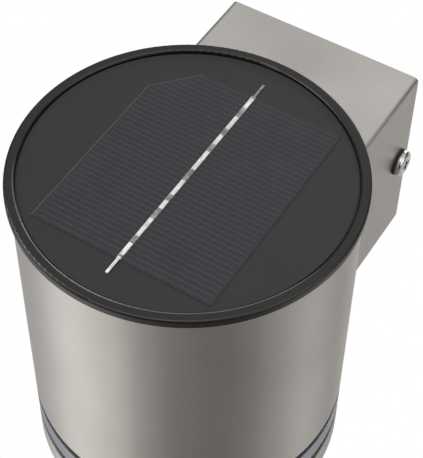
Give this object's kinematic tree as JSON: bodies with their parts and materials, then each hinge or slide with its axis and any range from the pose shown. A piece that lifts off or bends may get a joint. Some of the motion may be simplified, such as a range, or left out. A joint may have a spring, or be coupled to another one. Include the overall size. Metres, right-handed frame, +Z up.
{
  "type": "fence light",
  "caption": "Round steel fence light on a square wall bracket, with a lift-off solar head, a clear lens band and a down-facing lamp.",
  "frame": {"origin": "centre of the wall face, where the bracket's back edge and the wall plate meet the wall", "axes": "+Z up along the lamp, -Y out from the wall, +X to the right of someone facing the wall"},
  "size_m": [0.0924, 0.1182, 0.1051],
  "materials": {
    "zinc_plated_steel": "zinc plated, dull bright",
    "stainless_bracket": "fine brushed",
    "polished_screw": "polished",
    "stainless_tube": "brushed round the tube",
    "stainless_ring": "brushed",
    "clear_polycarbonate": "clear, lightly frosted",
    "black_rubber": "matt",
    "black_abs": "fine moulded texture",
    "adhesive": "soft",
    "black_glass_epoxy": "satin",
    "black_laminate": "satin film",
    "silicon_cell": "etched silicon under film",
    "tinned_ribbon": "tinned",
    "green_glass_epoxy": "solder mask",
    "black_epoxy": "matt",
    "capacitor_sleeve": "shrink sleeve",
    "battery_wrap": "shrink wrap",
    "nickel_strip": "nickel plated",
    "wire_insulation": "insulation",
    "switch_metal": "plated",
    "white_solder_mask": "solder mask",
    "yellow_phosphor": "phosphor gel",
    "white_abs": "moulded"
  },
  "bodies": {
    "holder": {"wall_plate": "zinc_plated_steel", "bracket_box": "stainless_bracket", "side_nuts": "zinc_plated_steel", "side_washers": "black_rubber", "side_screws": "polished_screw", "saddle_plate": "zinc_plated_steel", "saddle_nuts": "zinc_plated_steel", "saddle_screws": "polished_screw", "tube_shell": "stainless_tube", "lens": "clear_polycarbonate", "tube_sleeve": "black_rubber", "end_sleeve": "black_rubber", "end_ring": "stainless_ring", "clamp_ring": "zinc_plated_steel", "lens_screws": "zinc_plated_steel"},
    "solar_head": {"cap_housing": "black_abs", "cap_seal": "black_rubber", "skirt_ring": "black_rubber", "panel_bond": "adhesive", "solar_board": "black_glass_epoxy", "panel_sheet": "black_laminate", "solar_cell": "silicon_cell", "cell_ribbon": "tinned_ribbon", "core_housing": "black_abs", "core_cover": "black_abs", "core_screws": "zinc_plated_steel", "cover_screws": "zinc_plated_steel", "circuit_screws": "zinc_plated_steel", "cone_screws": "zinc_plated_steel", "circuit_board": "green_glass_epoxy", "control_chip": "black_epoxy", "inductor": "black_epoxy", "capacitor": "capacitor_sleeve", "battery": "battery_wrap", "positive_contact": "nickel_strip", "negative_contact": "nickel_strip", "panel_leads": "wire_insulation", "led_leads": "wire_insulation", "switch_leads": "wire_insulation", "switch_body": "switch_metal", "led_board": "white_solder_mask", "leds": "yellow_phosphor", "reflector": "white_abs"},
    "switch": {"switch_lever": "white_abs"}
  },
  "joints": [
    {"name": "cap_lift", "type": "slide", "parent": "holder", "child": "solar_head", "axis": [0, 0, 1], "range_m": [0, 0.065]},
    {"name": "switch_slide", "type": "slide", "parent": "solar_head", "child": "switch", "axis": [1, 0, 0], "range_m": [0, 0.003]}
  ]
}
